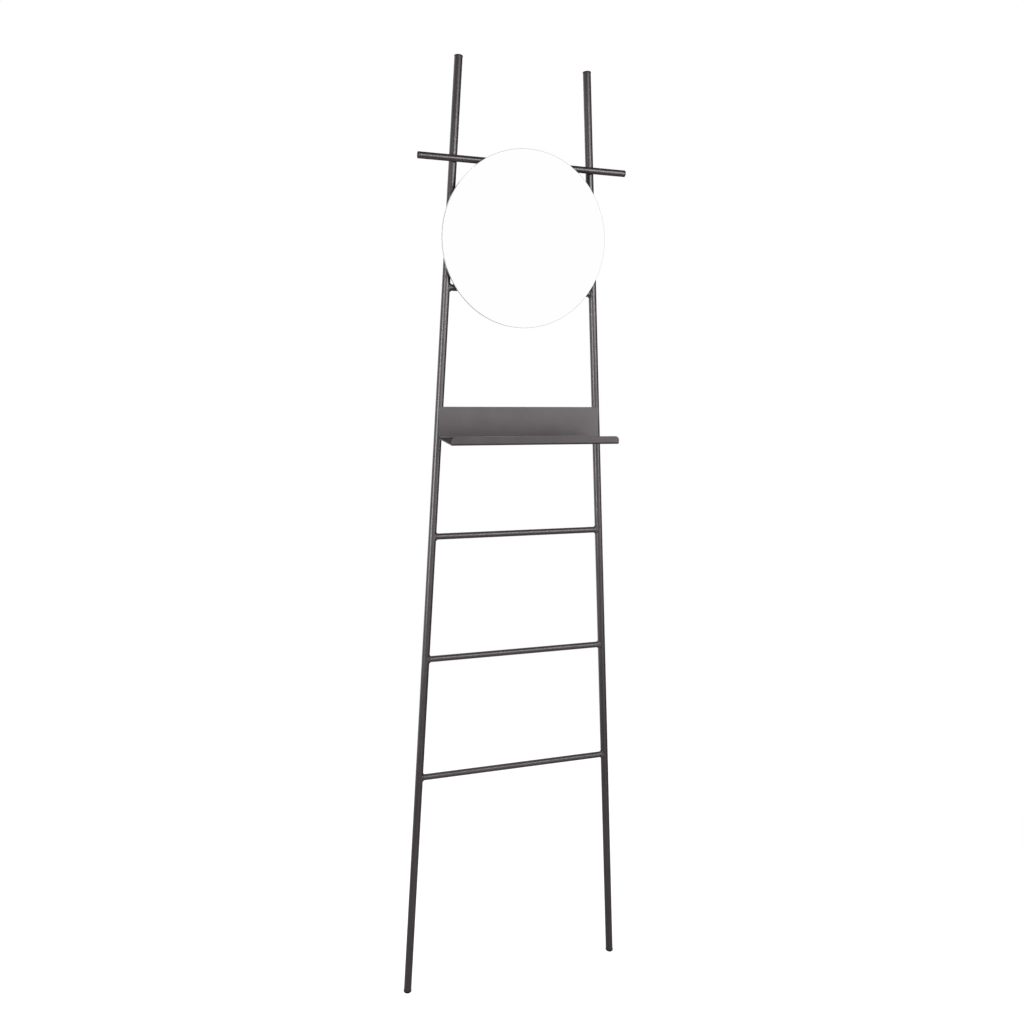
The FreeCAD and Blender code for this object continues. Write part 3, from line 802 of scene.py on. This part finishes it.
    def add_tray_beads(self):
        """Stitch welds between the back of the tray and the inner sides of the rails."""
        scene = bpy.context.scene
        sizes, welds, tray = scene.ladder_frame, scene.ladder_welds, scene.ladder_tray
        inward = math.sqrt(2 * sizes.rail_radius * welds.tray_bead)
        behind = welds.tray_bead / 2 - sizes.rail_radius
        ends = (tray.top - welds.tray_bead_inset, tray.top - tray.plate_height + welds.tray_bead_inset)
        half = welds.tray_bead_length / 2
        steps = range(TRAY_BEAD_POINTS + 1)
        line = [Vector((0, 0, half * (2 * step / TRAY_BEAD_POINTS - 1))) for step in steps]
        pattern = self.add_bead("tray_bead_pattern", line, welds.tray_bead, closed=False)
        beads = []
        for side, sign in SIDES.items():
            for rise in ends:
                spot = Matrix.Translation((-sign * inward, behind, rise / math.cos(splay())))
                bead = copy_piece(pattern, "tray_bead", rail_place(side) @ spot)
                carve(bead, rail_rod(side))
                beads.append(bead)
        bpy.data.objects.remove(pattern)
        return beads


class LADDER_OT_plugs(Operator):
    """Add the plugs in the tube ends: rail caps, feet and hook bar caps"""

    bl_idname = "ladder.add_plugs"
    bl_label = "Plugs and feet"

    def execute(self, context):
        sizes, plugs = context.scene.ladder_frame, context.scene.ladder_plugs
        for side, sign in SIDES.items():
            cap = self.add_plug(
                f"rail_plug_{side}", sizes.rail_radius, plugs.cap_flare, plugs.cap_height, plugs.cap_round
            )
            settle(cap, rail_place(side) @ Matrix.Translation((0, 0, rail_run() - plugs.cap_height)))
            complete(cap, finish_of("moulded_plastic"), "ladder", "black_plug", f"{side}_rail_cap")
            bar_cap = self.add_plug(
                f"hook_bar_plug_{side}", sizes.rung_radius, 0.0, plugs.bar_cap_height, plugs.bar_cap_round
            )
            end = sizes.hook_bar_length / 2 - plugs.bar_cap_height
            facing = Matrix.Rotation(0.0 if sign > 0 else math.pi, 4, "Y") @ Matrix.Translation((0, 0, end))
            settle(bar_cap, cross_place(sizes.hook_bar, sizes.hook_bar_ahead) @ facing)
            complete(bar_cap, finish_of("moulded_plastic"), "ladder", "black_plug", f"hook_bar_{side}_cap")
            self.add_foot(side)
        return {"FINISHED"}

    def add_plug(self, name, tube_radius, flare, height, rounding=0.0):
        """Plug along Z: a flange above zero, with its rim rounded where asked, and a stem below."""
        sizes, plugs = bpy.context.scene.ladder_frame, bpy.context.scene.ladder_plugs
        rim = tube_radius + flare
        plug = add_rod(name, rim, 0.0, height)
        pick(plug, "FACE", lambda middle, normal: normal.z < -FACING)
        bpy.ops.mesh.inset(thickness=flare + sizes.wall + plugs.clearance)
        extrude(0, 0, -plugs.depth)
        if rounding:
            pick(plug, "EDGE", lambda middle, run: abs(middle.z - height) < EPSILON)
            bpy.ops.mesh.bevel(offset=rounding, segments=5, affect="EDGES")
        leave_edit()
        return plug

    def add_foot(self, side):
        """Foot: a plug turned over, with a tall collar that is trimmed level with the floor."""
        sizes, plugs = bpy.context.scene.ladder_frame, bpy.context.scene.ladder_plugs
        below = sizes.rail_radius * (math.tan(sizes.lean) + math.tan(splay())) * FOOT_SPARE
        foot = self.add_plug(
            f"foot_plug_{side}", sizes.rail_radius, plugs.foot_flare, plugs.foot_height + below
        )
        settle(foot, Matrix.Translation((0, 0, plugs.foot_height)) @ Matrix.Rotation(math.pi, 4, "X"))
        settle(foot, rail_place(side))
        choose(foot)
        bpy.ops.object.mode_set(mode="EDIT")
        bpy.ops.mesh.select_all(action="SELECT")
        bpy.ops.mesh.bisect(plane_co=(0, 0, 0), plane_no=(0, 0, 1), use_fill=True, clear_inner=True)
        pick(foot, "EDGE", lambda middle, run: abs(middle.z) < EPSILON)
        bpy.ops.mesh.bevel(offset=plugs.foot_round, segments=4, affect="EDGES")
        leave_edit()
        complete(foot, finish_of("moulded_plastic"), "ladder", "black_plug", f"{side}_foot")


class LADDER_OT_wall_pads(Operator):
    """Add the rubber pads between the rail tops and the wall"""

    bl_idname = "ladder.add_wall_pads"
    bl_label = "Wall pads"

    def execute(self, context):
        plugs = context.scene.ladder_plugs
        for side in SIDES:
            node = f"{side}_wall_pad"
            low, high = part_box(node)
            pad = add(
                bpy.ops.mesh.primitive_cube_add, f"wall_pad_{side}", size=1.0, location=(low + high) / 2
            )
            pad.scale = high - low
            settle(pad)
            carve(pad, rail_rod(side))
            soften(pad, plugs.pad_round)
            complete(pad, finish_of("pad_rubber"), "ladder", "pad_rubber", node)
        return {"FINISHED"}


def fold_sheet(piece, thickness, edge):
    """Give a folded middle surface its thickness and soften its edges."""
    tidy_mesh(piece)
    apply_modifier(piece, "SOLIDIFY", thickness=thickness, offset=0.0, use_even_offset=True)
    soften(piece, edge)


class LADDER_OT_tray(Operator):
    """Add the shelf tray folded from one sheet"""

    bl_idname = "ladder.add_tray"
    bl_label = "Shelf tray"

    def execute(self, context):
        sizes, tray_sizes = context.scene.ladder_frame, context.scene.ladder_tray
        half, width = tray_sizes.sheet / 2, 2 * tray_sizes.half_width
        ahead, down = math.cos(tray_sizes.droop), math.sin(tray_sizes.droop)
        run = tray_sizes.depth - half
        rear_z = half * (1 - down) / ahead - tray_sizes.plate_height
        front = Vector((0, -run * ahead - half * down, -tray_sizes.plate_height - run * down + half * ahead))
        lip_run = tray_sizes.lip_height - half
        lip = front + lip_run * Vector((0, -down, ahead))
        tray = add(
            bpy.ops.mesh.primitive_plane_add, "tray_sheet", size=1.0,
            location=(0, -half, rear_z / 2), rotation=(math.pi / 2, 0, 0),
        )
        tray.scale = (width, -rear_z, 1.0)
        settle(tray)
        pick(tray, "EDGE", lambda middle, along: abs(middle.z - rear_z) < EPSILON)
        extrude(0, front.y + half, front.z - rear_z)
        extrude(0, lip.y - front.y, lip.z - front.z)
        folds = (rear_z, front.z)
        pick(tray, "EDGE", lambda middle, along: abs(along.x) > width / 2
             and min(abs(middle.z - height) for height in folds) < EPSILON)
        bpy.ops.mesh.bevel(offset=tray_sizes.fold, segments=8, affect="EDGES")
        pick(tray, "VERT", lambda spot: abs(spot.z - lip.z) < EPSILON)
        bpy.ops.mesh.bevel(offset=tray_sizes.lip_corner, segments=8, affect="VERTICES")
        pick(tray, "VERT", lambda spot: abs(spot.z) < EPSILON)
        bpy.ops.mesh.bevel(offset=tray_sizes.plate_corner, segments=4, affect="VERTICES")
        leave_edit()
        settle(tray, ladder_place() @ Matrix.Translation((0, -sizes.rail_radius, tray_sizes.top)))
        fold_sheet(tray, tray_sizes.sheet, tray_sizes.edge)
        complete(tray, finish_of("powder_coat"), "ladder", "frame_coat", "shelf_tray")
        return {"FINISHED"}


class LADDER_OT_glass(Operator):
    """Add the round mirror glass"""

    bl_idname = "ladder.add_glass"
    bl_label = "Mirror glass"

    def execute(self, context):
        sizes = context.scene.ladder_mirror
        glass = add(
            bpy.ops.mesh.primitive_cylinder_add, "mirror_disc", vertices=sizes.glass_sides,
            radius=(GLASS_HIGH.x - GLASS_LOW.x) / 2, depth=GLASS_HIGH.y - GLASS_LOW.y,
            location=(GLASS_LOW + GLASS_HIGH) / 2, rotation=(math.pi / 2, 0, 0),
        )
        settle(glass)
        pick(glass, "EDGE", lambda middle, run: abs(run.y) < EPSILON)
        bpy.ops.mesh.bevel(offset=sizes.arris, segments=1, affect="EDGES")
        leave_edit()
        complete(glass, finish_of("silvered_glass"), "mirror", "mirror", "mirror_glass", smooth=25.0)
        return {"FINISHED"}


class LADDER_OT_bracket(Operator):
    """Add the folded sheet bracket whose hooks hang the mirror on the bar"""

    bl_idname = "ladder.add_bracket"
    bl_label = "Mirror bracket"

    def execute(self, context):
        sizes = context.scene.ladder_mirror
        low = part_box("mirror_bracket")[0].z - BAR_AXIS.z
        top, front = -sizes.drop, -sizes.setback
        plate = add(
            bpy.ops.mesh.primitive_plane_add, "hanger_bracket", size=1.0,
            location=(0, front, (low + top) / 2), rotation=(math.pi / 2, 0, 0),
        )
        plate.scale = (2 * sizes.half_width, top - low, 1.0)
        settle(plate)
        inner = sizes.arm_place - sizes.arm_width / 2
        outer = sizes.arm_place + sizes.arm_width / 2
        choose(plate)
        bpy.ops.object.mode_set(mode="EDIT")
        for cut in (-outer, -inner, inner, outer):
            bpy.ops.mesh.select_all(action="SELECT")
            bpy.ops.mesh.bisect(plane_co=(cut, 0, 0), plane_no=(1, 0, 0))
        pick(plate, "EDGE", lambda middle, run: abs(middle.z - top) < EPSILON
             and inner < abs(middle.x) < outer)
        hook = sizes.hook_radius
        path = [
            (front, top), (front, -sizes.jog_drop - (sizes.setback - hook)), (-hook, -sizes.jog_drop),
            (-hook, hook), (hook, hook), (hook, -sizes.tail),
        ]
        for before, after in zip(path, path[1:]):
            extrude(0, after[0] - before[0], after[1] - before[1])
        jog = (path[1:3], sizes.jog_bend, math.pi / 4)
        crook = (path[3:5], sizes.hook_bend, math.pi / 2)
        for folds, radius, turn in (jog, crook):
            pick(plate, "EDGE", lambda middle, run: abs(run.x) > EPSILON and any(
                abs(middle.y - y) < EPSILON and abs(middle.z - z) < EPSILON for y, z in folds))
            bpy.ops.mesh.bevel(offset=radius * math.tan(turn / 2), segments=8, affect="EDGES")
        pick(plate, "VERT", lambda spot: abs(abs(spot.x) - sizes.half_width) < EPSILON)
        bpy.ops.mesh.bevel(offset=sizes.corner, segments=8, affect="VERTICES")
        leave_edit()
        settle(plate, Matrix.Translation(BAR_AXIS))
        fold_sheet(plate, sizes.sheet, sizes.edge)
        complete(plate, finish_of("zinc_plate"), "mirror", "zinc_sheet", "mirror_bracket")
        return {"FINISHED"}


class LADDER_OT_tape(Operator):
    """Add the foam tape between bracket and glass"""

    bl_idname = "ladder.add_tape"
    bl_label = "Foam tape"

    def execute(self, context):
        sizes = context.scene.ladder_mirror
        low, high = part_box("mirror_tape")
        strip = add(
            bpy.ops.mesh.primitive_cube_add, "tape_strip", size=1.0,
            location=(0, (low.y + high.y) / 2, (low.z + high.z) / 2),
        )
        strip.scale = (sizes.tape_width, high.y - low.y, high.z - low.z)
        settle(strip)
        soften(strip, sizes.tape_round, segments=2)
        strips = [strip]
        for offset in (-sizes.tape_pitch, sizes.tape_pitch):
            strips.append(copy_piece(strip, "tape_strip", Matrix.Translation((offset, 0, 0))))
        complete(join("tape_strips", strips), finish_of("foam_tape"), "mirror", "foam_tape", "mirror_tape")
        return {"FINISHED"}


class LADDER_OT_bumpers(Operator):
    """Add the soft dots on the back of the glass"""

    bl_idname = "ladder.add_bumpers"
    bl_label = "Bumpers"

    def execute(self, context):
        sizes = context.scene.ladder_mirror
        low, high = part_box("mirror_bumpers")
        radius, height = (high.z - low.z) / 2, high.y - low.y
        dot = add(
            bpy.ops.mesh.primitive_cylinder_add, "bumper_dot", vertices=48, radius=radius, depth=height,
            location=(low.x + radius, (low.y + high.y) / 2, (low.z + high.z) / 2),
            rotation=(math.pi / 2, 0, 0),
        )
        settle(dot)
        pick(dot, "EDGE", lambda middle, run: abs(middle.y - high.y) < EPSILON)
        bpy.ops.mesh.bevel(offset=sizes.bumper_round, segments=5, affect="EDGES")
        leave_edit()
        other = copy_piece(dot, "bumper_dot", Matrix.Translation((high.x - low.x - 2 * radius, 0, 0)))
        dots = join("bumper_dots", [dot, other])
        complete(dots, finish_of("frosted_silicone"), "mirror", "bumper", "mirror_bumpers")
        return {"FINISHED"}


# Stage

# Point that the lamps face
LAMP_TARGET = Vector((0.0, 0.0, 1.2))
# Name, place, width, height and power of each lamp
LAMPS = (
    ("high_softbox", (0.55, -1.55, 2.05), 1.2, 0.6, 16.5),
    ("right_strip", (1.67, -1.72, 1.30), 0.45, 1.3, 11.0),
    ("left_strip", (-1.36, -0.85, 1.30), 0.45, 1.3, 19.0),
    ("back_softbox", (0.50, 2.20, 2.20), 1.6, 1.2, 16.0),
)
# White that reflections see in front and on the left behind: an axis of the direction that they look in,
# where the white starts on that axis and where it is full
PANEL = (("Y", 0.0, -0.6), ("Z", -0.32, -0.18), ("Z", 0.32, 0.18), ("X", -0.5, 0.0), ("X", 0.75, 0.5))
WALL = (("Y", -0.1, 0.3), ("X", 0.1, -0.2))


def rays(tree, *kinds):
    """1 for rays of the given kinds, else 0."""
    path = Signal.node(tree, "ShaderNodeLightPath").socket.node
    return sum(Signal(path.outputs[f"Is {kind} Ray"]) for kind in kinds)


def world_mask(tree, limits):
    """Mask of a part of the world, from limits on the axes of its direction."""
    towards = Signal.node(tree, "ShaderNodeTexCoord", None, None, "Generated")
    mask = 1
    for axis, start, full in limits:
        part = Signal.node(tree, "ShaderNodeSeparateXYZ", None, {"Vector": towards}, axis)
        mask = mask * ramp(tree, part, start, full)
    return mask


class LADDER_OT_stage(Operator):
    """Add the floor, the light and the camera"""

    bl_idname = "ladder.add_stage"
    bl_label = "Stage"

    def execute(self, context):
        self.add_floor(context)
        self.add_world(context)
        for lamp in LAMPS:
            self.add_lamp(*lamp)
        self.keep_off("high_softbox", "mirror_disc")
        self.add_camera(context)
        return {"FINISHED"}

    def add_floor(self, context):
        """Pale floor that shows white, keeps the shadow and fades out."""
        stage = context.scene.ladder_stage
        floor = add(bpy.ops.mesh.primitive_plane_add, "floor", size=stage.floor_size)
        settle(floor)
        finish = bpy.data.materials.new("stage_floor")
        finish.use_nodes = True
        tree = finish.node_tree
        tree.nodes.clear()
        shade = (*context.scene.ladder_colours.floor, 1.0)
        lit = Signal.node(tree, "ShaderNodeBsdfDiffuse", None, {"Color": shade})
        glow = Signal.node(tree, "ShaderNodeEmission", None, {"Strength": stage.glow})
        white = Signal.node(tree, "ShaderNodeAddShader", None, {0: lit, 1: glow})
        seen = rays(tree, "Camera", "Transmission")
        shown = Signal.node(tree, "ShaderNodeMixShader", None, {0: seen, 1: lit, 2: white})
        place = Signal.node(tree, "ShaderNodeTexCoord", None, None, "Object")
        away = Signal.node(tree, "ShaderNodeVectorMath", {"operation": "LENGTH"}, {0: place}, "Value")
        fade = ramp(tree, away, stage.fade_start, stage.fade_end)
        gone = Signal.node(tree, "ShaderNodeBsdfTransparent")
        seamless = Signal.node(tree, "ShaderNodeMixShader", None, {0: fade, 1: shown, 2: gone})
        Signal.node(tree, "ShaderNodeOutputMaterial", None, {"Surface": seamless})
        floor.data.materials.append(finish)

    def add_world(self, context):
        """Faint even light, shown white to the camera and, in two parts, to reflections."""
        stage = context.scene.ladder_stage
        world = bpy.data.worlds.new("studio")
        context.scene.world = world
        world.use_nodes = True
        tree = world.node_tree
        tree.nodes.clear()
        fill, white = (
            Signal.node(
                tree, "ShaderNodeBackground", None, {"Color": (1.0, 1.0, 1.0, 1.0), "Strength": level}
            )
            for level in (stage.fill, 1.0)
        )
        mirrored = world_mask(tree, PANEL) + stage.wall * world_mask(tree, WALL)
        seen = rays(tree, "Camera", "Transmission") + mirrored * rays(tree, "Glossy")
        shown = Signal.node(tree, "ShaderNodeMixShader", None, {0: seen, 1: fill, 2: white})
        Signal.node(tree, "ShaderNodeOutputWorld", None, {"Surface": shown})

    def add_lamp(self, name, place, width, height, power):
        """Area lamp that the camera doesn't see."""
        bpy.ops.object.select_all(action="DESELECT")
        bpy.ops.object.light_add(type="AREA", location=place)
        lamp = bpy.context.object
        lamp.name = name
        lamp.data.shape = "RECTANGLE"
        lamp.data.size, lamp.data.size_y = width, height
        lamp.data.energy = power
        lamp.visible_camera = False
        lamp.rotation_euler = (LAMP_TARGET - Vector(place)).to_track_quat("-Z", "Y").to_euler()

    def keep_off(self, lamp, piece):
        """Keep a lamp out of a piece that should mirror the plain background."""
        choose(bpy.data.objects[piece], bpy.data.objects[lamp])
        bpy.ops.object.light_linking_receivers_link(link_state="EXCLUDE")

    def add_camera(self, context):
        """Camera at the viewing angle, for a square frame."""
        stage = context.scene.ladder_stage
        bpy.ops.object.select_all(action="DESELECT")
        bpy.ops.object.camera_add(location=stage.camera_place, rotation=stage.camera_turn)
        camera = bpy.context.object
        camera.data.lens = stage.lens
        context.scene.camera = camera
        context.scene.view_settings.view_transform = "Standard"


class LADDER_PT_pieces(Panel):
    """Sidebar panel that lists the pieces"""

    bl_idname = "LADDER_PT_pieces"
    bl_label = "Bathroom ladder"
    bl_space_type = "VIEW_3D"
    bl_region_type = "UI"
    bl_category = "Ladder"

    def draw(self, context):
        for operator in OPERATORS:
            self.layout.operator(operator.bl_idname, text=operator.bl_label)


GROUPS = {
    "ladder_frame": FrameSizes,
    "ladder_plugs": PlugSizes,
    "ladder_welds": WeldSizes,
    "ladder_tray": TraySizes,
    "ladder_mirror": MirrorSizes,
    "ladder_colours": FinishColours,
    "ladder_stage": StageSettings,
}
OPERATORS = (
    LADDER_OT_rails, LADDER_OT_cross_tubes, LADDER_OT_welds, LADDER_OT_plugs, LADDER_OT_wall_pads,
    LADDER_OT_tray, LADDER_OT_glass, LADDER_OT_bracket, LADDER_OT_tape, LADDER_OT_bumpers, LADDER_OT_stage,
)


def register():
    """Register the classes and hang the property groups on the scene."""
    for name, group in GROUPS.items():
        bpy.utils.register_class(group)
        setattr(bpy.types.Scene, name, PointerProperty(type=group))
    for item in (*OPERATORS, LADDER_PT_pieces):
        bpy.utils.register_class(item)


def unregister():
    """Undo register."""
    for item in (LADDER_PT_pieces, *reversed(OPERATORS)):
        bpy.utils.unregister_class(item)
    for name, group in reversed(GROUPS.items()):
        delattr(bpy.types.Scene, name)
        bpy.utils.unregister_class(group)


def main():
    """Build the ladder and its stage."""
    register()
    for operator in OPERATORS:
        group, action = operator.bl_idname.split(".")
        getattr(getattr(bpy.ops, group), action)()


if __name__ == "__main__":
    main()
